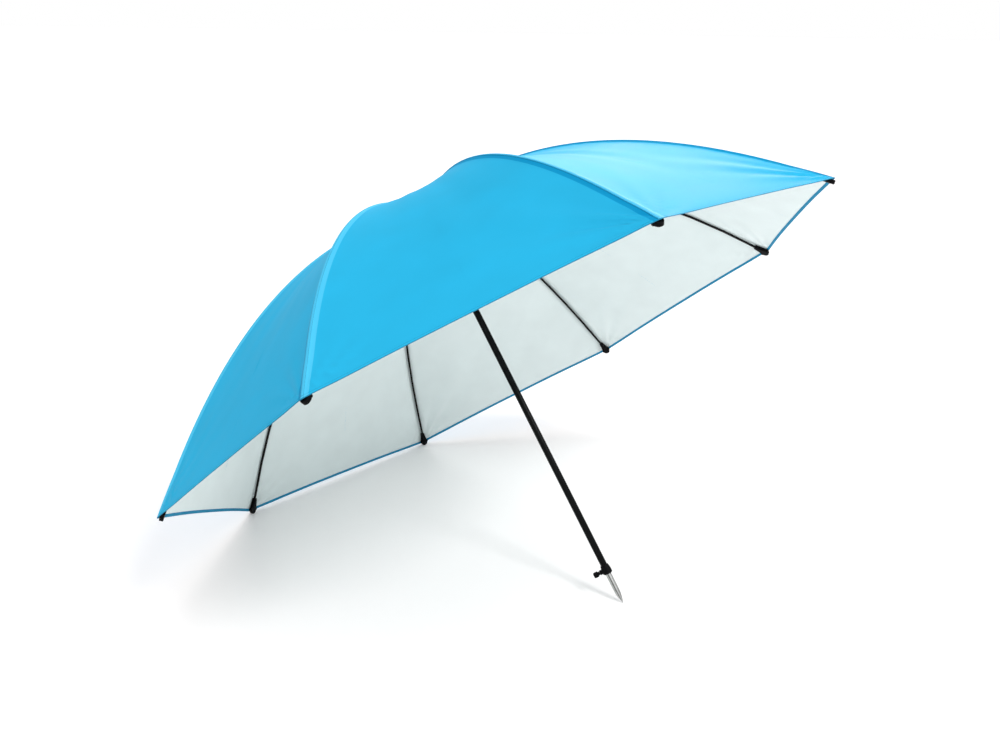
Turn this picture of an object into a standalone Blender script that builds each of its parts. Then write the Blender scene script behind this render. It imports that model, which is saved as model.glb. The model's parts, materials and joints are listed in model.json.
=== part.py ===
"""A fishing umbrella with a two-part pole, open and lying on its spike and two rib tips.

The umbrella is modelled upright, with its pole along +Z and the spike's point at the
origin, and an empty then lays it down. Metres, +Z up.
"""
import math

import bmesh
import bpy
from mathutils import Matrix, Vector

# Fits
CLEARANCE = 0.0003          # between pieces that touch or run in one another
OVERRUN = 0.004             # how far a cutter passes the face it cuts
WELD = 0.000001             # merge distance for curves' caps and turned poles

# Ribs and the form of the open frame
RIB_COUNT = 8
FIRST_RIB_AZIMUTH = math.radians(-112.5)
RIM_RADIUS = 1.060          # from the pole's axis to the rib tips
RIM_HEIGHT = 0.763          # of the rib tips above the spike's point, along the pole
CREST_RADIUS = 0.130        # from the axis to the ribs' highest point
CREST_RISE = 0.552          # of that point above the rib tips
ROD_RADIUS = 0.004
INNER_SPANS = 5             # of the rod between crown and bracket
OUTER_SPANS = 7             # of the rod between bracket and tip

# Wire rings, eyes and blades at crown and runner
HINGE_RADIUS = 0.024        # of both wire rings
WIRE_RADIUS = 0.001
EYE_WALL = 0.0022
BLADE_THICKNESS = 0.003
BLADE_REACH = 0.014         # from an eye to the round rod
HUB_RIM = 0.005             # of the notched hubs outside their wire ring
HUB_DEPTH = 0.006           # of the notched hubs below their wire ring

# Pole
TUBE_RADIUS = 0.010
TUBE_WALL = 0.0012
LOWER_TUBE_WALL = 0.001
LOWER_TUBE_HEADROOM = 0.100 # of the lower tube's end below the catch spring

# Spike
SPIKE_LENGTH = 0.092
SPIKE_POINT_LENGTH = 0.043
SPIKE_POINT_RADIUS = 0.0008
SPIKE_SHANK_LENGTH = 0.024
FLUTE_COUNT = 6
FLUTE_RADIUS = 0.0036
FLUTE_DEPTH = 0.0020

# Collar and thumb screw
COLLAR_LENGTH = 0.028
COLLAR_RADIUS = 0.0145
COLLAR_FOOT_RADIUS = 0.0108
COLLAR_TOP_RADIUS = 0.0120
COLLAR_FOOT_CHAMFER = 0.004
COLLAR_BAND_LENGTH = 0.012
COLLAR_SEAT_HEIGHT = 0.0180  # of the upper tube's end above the collar's foot
BOSS_RADIUS = 0.0072
BOSS_REACH = 0.0215         # from the pole's axis
SCREW_AZIMUTH = math.radians(-135.0)
SCREW_HEIGHT = 0.0125       # above the collar's foot
SCREW_RADIUS = 0.0024
SCREW_NECK_RADIUS = 0.0052
SCREW_NECK_LENGTH = 0.0040
WING_WIDTH = 0.0165
WING_LENGTH = 0.0170
WING_THICKNESS = 0.0032

# Crown and cap
HUB_WALL = 0.0035           # of the sleeves round the tube
CROWN_SLEEVE_LENGTH = 0.030
SPIGOT_RADIUS = 0.0060
SPIGOT_LENGTH = 0.0090
CAP_RADIUS = 0.0280
CAP_EDGE = 0.0025
CAP_HEIGHT = 0.0130

# Runner and catch
RUNNER_DROP = 0.210         # of the runner's ring below the crown's, open
RUNNER_SLEEVE_LENGTH = 0.052
RUNNER_GRIP_RADIUS = 0.0165
RUNNER_GRIP_LENGTH = 0.014
BUTTON_WIDTH = 0.0050
BUTTON_HEIGHT = 0.0085
BUTTON_STAND_OUT = 0.0032   # of the button's nose beyond the tube
BUTTON_SHOULDER = 0.0018    # of the button's foot beyond its nose, above and below
BUTTON_FOOT = 0.0020
SPRING_WIDTH = 0.0050
SPRING_THICKNESS = 0.0007
SPRING_LENGTH = 0.046
WINDOW_CLEARANCE = 0.0008

# Brackets, rivets and stretchers
BRACKET_RADIUS = 0.420      # from the pole's axis
BRACKET_GAP = 0.0007        # between a bracket's sleeve and the stretcher's eye
BRACKET_LENGTH = 0.022
EAR_THICKNESS = 0.0015
RIVET_RADIUS = 0.0015
RIVET_HEAD_RADIUS = 0.0028
RIVET_HEAD_LENGTH = 0.0010
STRETCHER_RADIUS = 0.0025

# Rib tips
CUP_LENGTH = 0.054
CUP_WALL = 0.0012
CUP_END_RADIUS = 0.0118
CUP_LUG = 0.0024
CUP_LUG_LENGTH = 0.0060
CUP_EDGE = 0.0010
CUP_CAP = 0.0070            # of solid beyond the rod's end

# Canopy
CLOTH_THICKNESS = 0.0010
HEM_SETBACK = 0.005         # of the canopy's corners from the rib tips
HEM_SCALLOP = 0.008         # of the hem's middle from the straight line between corners
PANEL_DRAW = 0.014          # of a panel's middle inside the straight line between ribs
APEX_HOLE_RADIUS = 0.0065
PANEL_COLUMNS = 4
CLOTH_ROWS = 13
CLOTH_SEAT = 0.0017         # of the cloth above the ribs' sleeves, for its straight facets
CUP_LIFT = 0.0034           # of the cloth's corners over the broad cups

# Worked-out sizes of the hubs, eyes and fits
EYE_RADIUS = WIRE_RADIUS + CLEARANCE + EYE_WALL
HUB_RADIUS = HINGE_RADIUS + HUB_RIM
SLOT_WIDTH = BLADE_THICKNESS + 2 * CLEARANCE
SLEEVE_BORE = TUBE_RADIUS + CLEARANCE
SLEEVE_RADIUS = SLEEVE_BORE + HUB_WALL
TUBE_BORE = TUBE_RADIUS - TUBE_WALL
LOWER_TUBE_RADIUS = TUBE_BORE - CLEARANCE
CUP_HALF_THICKNESS = ROD_RADIUS + CLEARANCE + CUP_WALL
CLOTH_OFFSET = CUP_HALF_THICKNESS + CLOTH_SEAT
RIVET_EYE_RADIUS = RIVET_RADIUS + CLEARANCE + EYE_WALL
BRACKET_DROP = CUP_HALF_THICKNESS + BRACKET_GAP + RIVET_EYE_RADIUS  # of the rivet below the rib
SHANK_DROP = STRETCHER_RADIUS + WIRE_RADIUS
RIB_SPACING = 2 * math.pi / RIB_COUNT


def rib_height(r):
    """Height of the ribs' centre line above the spike's point, at a radius: a parabola."""
    reach = (r - CREST_RADIUS) / (RIM_RADIUS - CREST_RADIUS)
    return RIM_HEIGHT + CREST_RISE * (1 - reach * reach)


def rib_fall(r):
    """Angle of the rib below level at a radius, going outwards."""
    span = RIM_RADIUS - CREST_RADIUS
    return math.atan(2 * CREST_RISE * (r - CREST_RADIUS) / (span * span))


HINGE_HEIGHT = rib_height(HINGE_RADIUS)
RUNNER_HEIGHT = HINGE_HEIGHT - RUNNER_DROP
COLLAR_FOOT = SPIKE_LENGTH + CLEARANCE
LOWER_TUBE_FOOT = SPIKE_LENGTH + CLEARANCE


class Linkage:
    """The triangle of crown hinge, rib rivet and runner hinge of the open umbrella."""

    def __init__(self):
        fall = rib_fall(BRACKET_RADIUS)
        x = BRACKET_RADIUS - BRACKET_DROP * math.sin(fall)
        z = rib_height(BRACKET_RADIUS) - BRACKET_DROP * math.cos(fall)
        self.rivet = Vector((x - HINGE_RADIUS, 0, z - HINGE_HEIGHT))
        self.stretcher = Vector((self.rivet.x, 0, z - RUNNER_HEIGHT))
        self.tip = Vector((RIM_RADIUS - HINGE_RADIUS, 0, RIM_HEIGHT - HINGE_HEIGHT))
        self.length = self.stretcher.length
        self.lean = math.atan2(self.stretcher.x, self.stretcher.z)


LINKAGE = Linkage()


def clear_scene():
    for obj in list(bpy.data.objects):
        bpy.data.objects.remove(obj, do_unlink=True)


def collection(name):
    made = bpy.data.collections.new(name)
    bpy.context.scene.collection.children.link(made)
    return made


def material(name, colour, roughness, metallic=0.0):
    made = bpy.data.materials.new(name)
    made.use_nodes = True
    shader = made.node_tree.nodes["Principled BSDF"]
    shader.inputs["Base Color"].default_value = (*colour, 1)
    shader.inputs["Roughness"].default_value = roughness
    shader.inputs["Metallic"].default_value = metallic
    made.diffuse_color = (*colour, 1)
    return made


clear_scene()
PARTS = collection("fishing_umbrella")
CUTTERS = collection("cutters")
BLACK_ANODISED = material("black_anodised_tube", (0.012, 0.013, 0.014), 0.25, 0.6)
BARE_ALUMINIUM = material("bare_aluminium", (0.62, 0.62, 0.60), 0.35, 1.0)
BLACK_PLASTIC = material("black_plastic", (0.014, 0.014, 0.015), 0.45)
BLACK_GLASS_FIBRE = material("black_glass_fibre", (0.016, 0.016, 0.018), 0.35)
STEEL_WIRE = material("steel_wire", (0.55, 0.55, 0.54), 0.3, 1.0)
BLUE_CLOTH = material("blue_cloth", (0.05, 0.50, 0.83), 0.75)


def empty(name, parent=None, matrix=None):
    made = bpy.data.objects.new(name, None)
    made.empty_display_size = HUB_RADIUS
    PARTS.objects.link(made)
    made.parent = parent
    made.matrix_local = matrix or Matrix()
    return made


def place(name, mesh, look, parent, matrix=None):
    """A named piece of the umbrella."""
    made = bpy.data.objects.new(name, mesh)
    PARTS.objects.link(made)
    made.parent = parent
    made.matrix_local = matrix or Matrix()
    mesh.materials.clear()
    mesh.materials.append(look)
    return made


def guide(name, mesh, parent=None, matrix=None):
    """A cutter, or a shape that a Boolean joins to a piece."""
    made = bpy.data.objects.new(name, mesh)
    CUTTERS.objects.link(made)
    made.parent = parent
    made.matrix_local = matrix or Matrix()
    made.hide_render = True
    made.display_type = "WIRE"
    return made


def mesh_from(bm, name):
    made = bpy.data.meshes.new(name)
    bm.to_mesh(made)
    bm.free()
    return made


def smooth(mesh, degrees=40):
    """Round pieces are shaded smooth, and their real edges stay sharp."""
    mesh.shade_smooth()
    mesh.set_sharp_from_angle(angle=math.radians(degrees))


def baked(obj):
    """An object's evaluated mesh, welded, in its parent's frame. The object is removed."""
    bpy.context.view_layer.update()
    graph = bpy.context.evaluated_depsgraph_get()
    mesh = bpy.data.meshes.new_from_object(obj.evaluated_get(graph))
    mesh.transform(obj.matrix_local)
    bm = bmesh.new()
    bm.from_mesh(mesh)
    bmesh.ops.remove_doubles(bm, verts=bm.verts, dist=WELD)
    bm.to_mesh(mesh)
    bm.free()
    bpy.data.objects.remove(obj)
    return mesh


def curve_mesh(curve, matrix=None):
    """A curve with its bevel or extrusion, as a welded mesh."""
    made = bpy.data.objects.new("curve", curve)
    CUTTERS.objects.link(made)
    made.matrix_local = matrix or Matrix()
    return baked(made)


def rod(points, radius, detail=1):
    """A round rod through points, with flat ends."""
    curve = bpy.data.curves.new("rod", "CURVE")
    curve.dimensions = "3D"
    curve.bevel_depth = radius
    curve.bevel_resolution = detail
    curve.use_fill_caps = True
    spline = curve.splines.new("POLY")
    spline.points.add(len(points) - 1)
    for at, point in zip(spline.points, points):
        at.co = (*point, 1)
    return curve_mesh(curve)


def plate(outlines, thickness, matrix=None):
    """A flat piece from closed outlines in X and Y. Outlines inside another are holes."""
    curve = bpy.data.curves.new("plate", "CURVE")
    curve.dimensions = "2D"
    curve.fill_mode = "BOTH"
    curve.extrude = thickness / 2
    for outline in outlines:
        spline = curve.splines.new("POLY")
        spline.points.add(len(outline) - 1)
        for at, (x, y) in zip(spline.points, outline):
            at.co = (x, y, 0, 1)
        spline.use_cyclic_u = True
    return curve_mesh(curve, matrix)


def cylinder(radius, low, high, segments=16, matrix=None):
    """A cylinder along Z from low to high."""
    bm = bmesh.new()
    bmesh.ops.create_cone(bm, cap_ends=True, segments=segments, radius1=radius,
                          radius2=radius, depth=high - low)
    bmesh.ops.translate(bm, verts=bm.verts, vec=(0, 0, (low + high) / 2))
    if matrix:
        bm.transform(matrix)
    return mesh_from(bm, "cylinder")


def block(size, centre):
    bm = bmesh.new()
    bmesh.ops.create_cube(bm, size=1)
    bmesh.ops.scale(bm, verts=bm.verts, vec=size)
    bmesh.ops.translate(bm, verts=bm.verts, vec=centre)
    return mesh_from(bm, "block")


def joined(meshes, name):
    """Several closed shapes in one mesh, for a cutter."""
    bm = bmesh.new()
    for mesh in meshes:
        bm.from_mesh(mesh)
    made = bpy.data.meshes.new(name)
    bm.to_mesh(made)
    bm.free()
    return made


def turned(name, outline, look, parent, steps, closed=False):
    """A turned piece: an outline of radii and heights that runs down its outer side."""
    mesh = bpy.data.meshes.new(name)
    points = [(r, 0, z) for r, z in outline]
    edges = [(i, i + 1) for i in range(len(points) - 1)]
    if closed:
        edges.append((len(points) - 1, 0))
    mesh.from_pydata(points, edges, [])
    made = place(name, mesh, look, parent)
    screw = made.modifiers.new("turn", "SCREW")
    screw.axis = "Z"
    screw.steps = steps
    screw.render_steps = steps
    screw.use_merge_vertices = True
    screw.merge_threshold = WELD
    screw.use_smooth_shade = True
    return made


def boolean(obj, tool, operation="DIFFERENCE"):
    made = obj.modifiers.new(tool.name, "BOOLEAN")
    made.operation = operation
    made.solver = "EXACT"
    made.object = tool


def combine(base, steps):
    """A mesh after a list of Boolean steps, each an operation and a mesh."""
    work = guide("work", base)
    tools = []
    for operation, mesh in steps:
        tool = guide("tool", mesh)
        boolean(work, tool, operation)
        tools.append(tool)
    made = baked(work)
    for tool in tools:
        bpy.data.objects.remove(tool)
    return made


def arc(centre, radius, start, end, count):
    """Points along an arc, in degrees, both ends included."""
    turns = [math.radians(start + (end - start) * i / (count - 1)) for i in range(count)]
    return [(centre[0] + radius * math.cos(t), centre[1] + radius * math.sin(t)) for t in turns]


def spread(low, high, count):
    """Even steps from low, without high."""
    return [low + (high - low) * i / count for i in range(count)]


def bore_radius(radius, segments):
    """Radius of a faceted bore whose flats clear a round piece."""
    return (radius + CLEARANCE) / math.cos(math.pi / segments)


# From X and Y of a plate to X and Z of a rib's plane
STANDING = Matrix.Rotation(math.radians(90), 4, "X")


def along(direction):
    """A turn that takes X and Y of a plate into a rib's plane, with X along a direction."""
    level = math.atan2(direction.z, direction.x)
    return Matrix.Rotation(-level, 4, "Y") @ STANDING


def rib_mesh():
    """A rod on the rib's parabola with a flattened eye at its root, from the crown's hinge."""
    start = HINGE_RADIUS + BLADE_REACH * math.cos(rib_fall(HINGE_RADIUS))
    sleeve = BRACKET_LENGTH / 2 * math.cos(rib_fall(BRACKET_RADIUS))
    slope = math.cos(rib_fall(RIM_RADIUS))
    radii = spread(start, BRACKET_RADIUS - sleeve, INNER_SPANS) + [BRACKET_RADIUS - sleeve]
    radii += spread(BRACKET_RADIUS + sleeve, RIM_RADIUS - CUP_LENGTH * slope, OUTER_SPANS)
    radii += [RIM_RADIUS - CUP_LENGTH * slope, RIM_RADIUS - CUP_CAP * slope]
    points = [(r - HINGE_RADIUS, 0, rib_height(r) - HINGE_HEIGHT) for r in radii]
    shank = BLADE_REACH + 2 * ROD_RADIUS
    eye = arc((0, 0), EYE_RADIUS, 60, 300, 7)
    outline = eye + [(shank, -ROD_RADIUS * 0.8), (shank, ROD_RADIUS * 0.8)]
    hole = arc((0, 0), WIRE_RADIUS + CLEARANCE, 0, 315, 8)
    direction = Vector(points[0]).normalized()
    blade = plate([outline, hole], BLADE_THICKNESS, along(direction))
    mesh = combine(rod(points, ROD_RADIUS), [("UNION", blade)])
    smooth(mesh)
    return mesh


def cup_half_width(x):
    """Half the width of a rib tip's cup at a distance back from its end, short of the round end."""
    back = (-x - CUP_END_RADIUS) / (CUP_LENGTH - CUP_END_RADIUS)
    ease = back * back * (3 - 2 * back)
    return CUP_END_RADIUS + (CUP_HALF_THICKNESS - CUP_END_RADIUS) * ease


def cup_mesh():
    """A tear-drop cup with side lugs and a blind bore for the rod, its end at the origin."""
    back_shares = (0.0, 0.3, 0.5, 0.7, 1.0)
    neck = CUP_LENGTH - CUP_END_RADIUS
    side = [-CUP_END_RADIUS - neck * share for share in back_shares[1:]]
    lug_in = -CUP_END_RADIUS
    lug_out = lug_in - CUP_LUG_LENGTH
    lug = [(lug_in, CUP_END_RADIUS + CUP_LUG), (lug_out, CUP_END_RADIUS + CUP_LUG)]
    round_end = arc((-CUP_END_RADIUS, 0), CUP_END_RADIUS, -90, 90, 11)
    upper = lug + [(x, cup_half_width(x)) for x in side]
    lower = [(x, -y) for x, y in reversed(upper)]
    work = guide("cup", plate([round_end + upper + lower], 2 * CUP_HALF_THICKNESS))
    bevel = work.modifiers.new("edges", "BEVEL")
    bevel.width = CUP_EDGE
    bevel.segments = 1
    bevel.limit_method = "ANGLE"
    bevel.angle_limit = math.radians(60)
    turn = Matrix.Rotation(math.radians(90), 4, "Y")
    bore = cylinder(bore_radius(ROD_RADIUS, 10), -CUP_LENGTH - OVERRUN, -CUP_CAP + CLEARANCE, 10, turn)
    mesh = combine(baked(work), [("DIFFERENCE", bore)])
    smooth(mesh)
    return mesh


def tip_matrix():
    """Places a rib tip's cup on the rib's end, from the crown's hinge."""
    inner = RIM_RADIUS - CUP_LENGTH * math.cos(rib_fall(RIM_RADIUS))
    fall = math.atan2(rib_height(inner) - RIM_HEIGHT, RIM_RADIUS - inner)
    return Matrix.Translation(LINKAGE.tip) @ Matrix.Rotation(fall, 4, "Y")


def bracket_mesh():
    """A sleeve round the rib with two ears, its rivet at the origin and the rib along X."""
    sleeve_turn = Matrix.Translation((0, 0, BRACKET_DROP)) @ Matrix.Rotation(math.radians(90), 4, "Y")
    half = BRACKET_LENGTH / 2
    sleeve = cylinder(CUP_HALF_THICKNESS, -half, half, 10, sleeve_turn)
    bore = cylinder(bore_radius(ROD_RADIUS, 10), -half - OVERRUN, half + OVERRUN, 10, sleeve_turn)
    shoulder = half * 0.7
    top = BRACKET_DROP - ROD_RADIUS
    outline = arc((0, 0), RIVET_EYE_RADIUS, 180, 360, 6) + [(shoulder, top), (-shoulder, top)]
    hole = arc((0, 0), RIVET_RADIUS + CLEARANCE, 0, 315, 8)
    offset = SLOT_WIDTH / 2 + EAR_THICKNESS / 2
    steps = []
    for side in (-1, 1):
        shift = Matrix.Translation((0, side * offset, 0)) @ STANDING
        steps.append(("UNION", plate([outline, hole], EAR_THICKNESS, shift)))
    steps.append(("DIFFERENCE", bore))
    mesh = combine(sleeve, steps)
    smooth(mesh)
    return mesh


def rivet_mesh():
    """A rivet along Y through both ears, with a head at each end."""
    outer = SLOT_WIDTH / 2 + EAR_THICKNESS + CLEARANCE
    end = outer + RIVET_HEAD_LENGTH
    turn = Matrix.Rotation(math.radians(90), 4, "X")
    pin = cylinder(RIVET_RADIUS, -end, end, 8, turn)
    heads = [cylinder(RIVET_HEAD_RADIUS, outer, end, 8, turn),
             cylinder(RIVET_HEAD_RADIUS, -end, -outer, 8, turn)]
    mesh = combine(pin, [("UNION", head) for head in heads])
    smooth(mesh)
    return mesh


def stretcher_mesh():
    """A strut along X: a round eye at the rivet and a half-round seat on the runner's ring."""
    length = LINKAGE.length
    shank_end = BLADE_REACH + 2 * STRETCHER_RADIUS
    half = STRETCHER_RADIUS * 0.8
    slope = -SHANK_DROP / length
    eye = arc((0, 0), RIVET_EYE_RADIUS, 60, 300, 7)
    outer_blade = [(shank_end, slope * shank_end - half), (shank_end, slope * shank_end + half)]
    hole = arc((0, 0), RIVET_RADIUS + CLEARANCE, 0, 315, 8)
    root = plate([eye + outer_blade, hole], BLADE_THICKNESS, STANDING)
    seat_radius = WIRE_RADIUS + CLEARANCE
    inner_start = length - shank_end
    floor = -SHANK_DROP - half
    seat = arc((length, 0), seat_radius, 180, 360, 5)
    heel = length + EYE_RADIUS
    jaw = [(inner_start, slope * inner_start + half), (length - BLADE_REACH / 2, 0)]
    toe = [(heel, 0), (heel, floor / 2), (length, floor), (inner_start, floor)]
    foot = plate([jaw + seat + toe], BLADE_THICKNESS, STANDING)
    points = [(x, 0, slope * x) for x in (BLADE_REACH, length / 2, length - BLADE_REACH)]
    mesh = combine(rod(points, STRETCHER_RADIUS), [("UNION", root), ("UNION", foot)])
    smooth(mesh)
    return mesh


def ring_mesh():
    """The wire ring that eyes or seats hang on."""
    bpy.ops.mesh.primitive_torus_add(major_radius=HINGE_RADIUS, minor_radius=WIRE_RADIUS,
                                     major_segments=24, minor_segments=6)
    made = bpy.context.object
    mesh = made.data
    bpy.data.objects.remove(made)
    smooth(mesh)
    return mesh


def slots_mesh(height, inner, low, high):
    """Radial slots for eight blades, round the axis, as one cutter."""
    slots = []
    depth = HUB_RADIUS + OVERRUN - inner
    for index in range(RIB_COUNT):
        slot = block((depth, SLOT_WIDTH, high - low), (inner + depth / 2, 0, height + (low + high) / 2))
        slot.transform(Matrix.Rotation(FIRST_RIB_AZIMUTH - index * RIB_SPACING, 4, "Z"))
        slots.append(slot)
    return joined(slots, "slots")


def groove(height):
    """The stretch of a hub's outline that holds the wire ring, from the top down."""
    half = WIRE_RADIUS + CLEARANCE
    floor = HINGE_RADIUS - half
    return [(HUB_RADIUS, height + half), (floor, height + half),
            (floor, height - half), (HUB_RADIUS, height - half)]


def crown(parent):
    """The notched hub on the pole's top, with a spigot for the cap."""
    top = HINGE_HEIGHT + CLOTH_OFFSET - CLEARANCE
    bottom = HINGE_HEIGHT - HUB_DEPTH
    foot = HINGE_HEIGHT - CROWN_SLEEVE_LENGTH
    spigot_top = top + SPIGOT_LENGTH
    chamfer = HUB_WALL / 4
    outline = [(0, spigot_top), (SPIGOT_RADIUS - chamfer, spigot_top),
               (SPIGOT_RADIUS, spigot_top - chamfer), (SPIGOT_RADIUS, top),
               (HUB_RADIUS - chamfer, top), (HUB_RADIUS, top - chamfer)]
    outline += groove(HINGE_HEIGHT)
    outline += [(HUB_RADIUS, bottom + chamfer), (HUB_RADIUS - chamfer, bottom),
                (SLEEVE_RADIUS + HUB_WALL, bottom), (SLEEVE_RADIUS, bottom - HUB_WALL),
                (SLEEVE_RADIUS, foot + chamfer), (SLEEVE_RADIUS - chamfer, foot),
                (SLEEVE_BORE, foot), (SLEEVE_BORE, HINGE_HEIGHT + CLEARANCE),
                (0, HINGE_HEIGHT + CLEARANCE)]
    made = turned("crown", outline, BLACK_PLASTIC, parent, 24)
    inner = HINGE_RADIUS - EYE_RADIUS - CLEARANCE
    low = -HUB_DEPTH - OVERRUN
    slots = slots_mesh(HINGE_HEIGHT, inner, low, EYE_RADIUS + WIRE_RADIUS)
    boolean(made, guide("crown_slots", slots, parent))
    return made


def crown_cap(parent):
    """The domed cap that clamps the cloth, with a blind bore for the crown's spigot."""
    seat = HINGE_HEIGHT + CLOTH_OFFSET + CLOTH_THICKNESS + CLEARANCE
    bore_top = HINGE_HEIGHT + CLOTH_OFFSET + SPIGOT_LENGTH
    bore = SPIGOT_RADIUS + CLEARANCE
    shares = [i / 6 for i in range(6)]
    rise = CAP_HEIGHT - CAP_EDGE
    dome = [(CAP_RADIUS * math.sin(share * math.pi / 2),
             seat + CAP_EDGE + rise * math.cos(share * math.pi / 2)) for share in shares]
    outline = dome + [(CAP_RADIUS, seat + CAP_EDGE), (CAP_RADIUS - CAP_EDGE / 2, seat),
                      (bore, seat), (bore, bore_top), (0, bore_top)]
    return turned("crown_cap", outline, BLACK_PLASTIC, parent, 28)


def button_height():
    """Height of the catch button's middle: its top holds the runner's hub."""
    return RUNNER_HEIGHT - HUB_DEPTH - CLEARANCE - BUTTON_HEIGHT / 2


def upper_tube(parent):
    """The upper tube, with a slot for the catch button."""
    foot = COLLAR_FOOT + COLLAR_SEAT_HEIGHT
    outline = [(TUBE_RADIUS, HINGE_HEIGHT), (TUBE_RADIUS, foot), (TUBE_BORE, foot), (TUBE_BORE, HINGE_HEIGHT)]
    made = turned("upper_tube", outline, BLACK_ANODISED, parent, 24, closed=True)
    size = (TUBE_RADIUS, BUTTON_WIDTH + 2 * CLEARANCE, BUTTON_HEIGHT + 2 * CLEARANCE)
    slot = block(size, (TUBE_RADIUS, 0, button_height()))
    boolean(made, guide("button_slot", slot, parent))
    return made


def lower_tube(parent):
    """The lower tube, inside the upper one up to a little below the catch spring."""
    foot = LOWER_TUBE_FOOT
    top = button_height() - SPRING_LENGTH - LOWER_TUBE_HEADROOM
    bore = LOWER_TUBE_RADIUS - LOWER_TUBE_WALL
    outline = [(LOWER_TUBE_RADIUS, top), (LOWER_TUBE_RADIUS, foot), (bore, foot), (bore, top)]
    return turned("lower_tube", outline, BARE_ALUMINIUM, parent, 20, closed=True)


def spike_radius(height):
    """Radius of the spike without its flutes: a tangent ogive under a straight length."""
    ogive = (SPIKE_POINT_LENGTH ** 2 + LOWER_TUBE_RADIUS ** 2) / (2 * LOWER_TUBE_RADIUS)
    back = max(SPIKE_POINT_LENGTH - height, 0)
    return math.sqrt(ogive * ogive - back * back) - (ogive - LOWER_TUBE_RADIUS)


def flute_cutters(parent):
    """Round bars that follow the spike's taper and fade out of it at both ends."""
    rows = ((0.16, -0.2), (0.3, 0.5), (0.46, 1.0), (0.78, 1.0), (0.97, -0.2))
    points = []
    for height_share, depth_share in rows:
        height = SPIKE_LENGTH * height_share
        out = spike_radius(height) - FLUTE_DEPTH * depth_share + FLUTE_RADIUS
        points.append(Vector((out, 0, height)))
    bars = []
    for index in range(FLUTE_COUNT):
        bar = rod(points, FLUTE_RADIUS)
        bar.transform(Matrix.Rotation(index * 2 * math.pi / FLUTE_COUNT, 4, "Z"))
        bars.append(bar)
    return guide("flutes", combine(bars[0], [("UNION", bar) for bar in bars[1:]]), parent)


def spike(parent):
    """The fluted point with its shank in the lower tube."""
    bore = LOWER_TUBE_RADIUS - LOWER_TUBE_WALL
    shank = bore - CLEARANCE
    top = SPIKE_LENGTH + SPIKE_SHANK_LENGTH
    chamfer = shank / 8
    outline = [(0, top), (shank - chamfer, top), (shank, top - chamfer), (shank, SPIKE_LENGTH),
               (LOWER_TUBE_RADIUS, SPIKE_LENGTH)]
    shares = (1, 0.8, 0.6, 0.42, 0.26, 0.13)
    outline += [(spike_radius(SPIKE_POINT_LENGTH * share), SPIKE_POINT_LENGTH * share) for share in shares]
    outline += [(SPIKE_POINT_RADIUS, SPIKE_POINT_RADIUS / 2), (0, 0)]
    made = turned("spike", outline, BARE_ALUMINIUM, parent, 24)
    boolean(made, flute_cutters(parent))
    return made


def screw_frame():
    """X along the thumb screw, out from the pole, and Z along the pole."""
    lift = Matrix.Translation((0, 0, COLLAR_FOOT + SCREW_HEIGHT))
    return lift @ Matrix.Rotation(SCREW_AZIMUTH, 4, "Z")


def collar(parent):
    """The clamp collar on the upper tube's end, with a boss for the thumb screw."""
    foot = COLLAR_FOOT
    top = foot + COLLAR_LENGTH
    band_low = foot + COLLAR_FOOT_CHAMFER
    band_high = band_low + COLLAR_BAND_LENGTH
    seat = foot + COLLAR_SEAT_HEIGHT - CLEARANCE
    lower_bore = LOWER_TUBE_RADIUS + CLEARANCE
    outline = [(COLLAR_TOP_RADIUS, top), (COLLAR_RADIUS, band_high), (COLLAR_RADIUS, band_low),
               (COLLAR_FOOT_RADIUS, foot), (lower_bore, foot), (lower_bore, seat),
               (SLEEVE_BORE, seat), (SLEEVE_BORE, top)]
    made = turned("collar", outline, BLACK_PLASTIC, parent, 28, closed=True)
    turn = Matrix.Rotation(math.radians(90), 4, "Y")
    inner = (LOWER_TUBE_RADIUS + COLLAR_RADIUS) / 2
    boss = guide("boss", cylinder(BOSS_RADIUS, inner, BOSS_REACH, 20, turn), parent, screw_frame())
    boolean(made, boss, "UNION")
    hole = cylinder(SCREW_RADIUS + CLEARANCE, LOWER_TUBE_RADIUS / 2, BOSS_REACH + OVERRUN, 16, turn)
    boolean(made, guide("screw_hole", hole, parent, screw_frame()))
    return made


def thumb_screw_mesh():
    """The screw along X with a neck and a flat wing, from the pole's axis."""
    tip = LOWER_TUBE_RADIUS + CLEARANCE
    seat = BOSS_REACH + CLEARANCE
    neck_end = seat + SCREW_NECK_LENGTH
    wing_start = seat + SCREW_NECK_LENGTH / 2
    corner = WING_WIDTH / 4
    wing_end = wing_start + WING_LENGTH
    half = WING_WIDTH / 2
    outline = [(wing_start, SCREW_NECK_RADIUS * 0.7), (wing_start + corner, half)]
    outline += arc((wing_end - corner, half - corner), corner, 90, 0, 5)
    outline += [(x, -y) for x, y in reversed(outline)]
    wing = plate([outline], WING_THICKNESS, STANDING)
    turn = Matrix.Rotation(math.radians(90), 4, "Y")
    shank = cylinder(SCREW_RADIUS, tip, neck_end, 14, turn)
    neck = cylinder(SCREW_NECK_RADIUS, seat, neck_end, 18, turn)
    mesh = combine(shank, [("UNION", neck), ("UNION", wing)])
    smooth(mesh)
    return mesh


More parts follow.
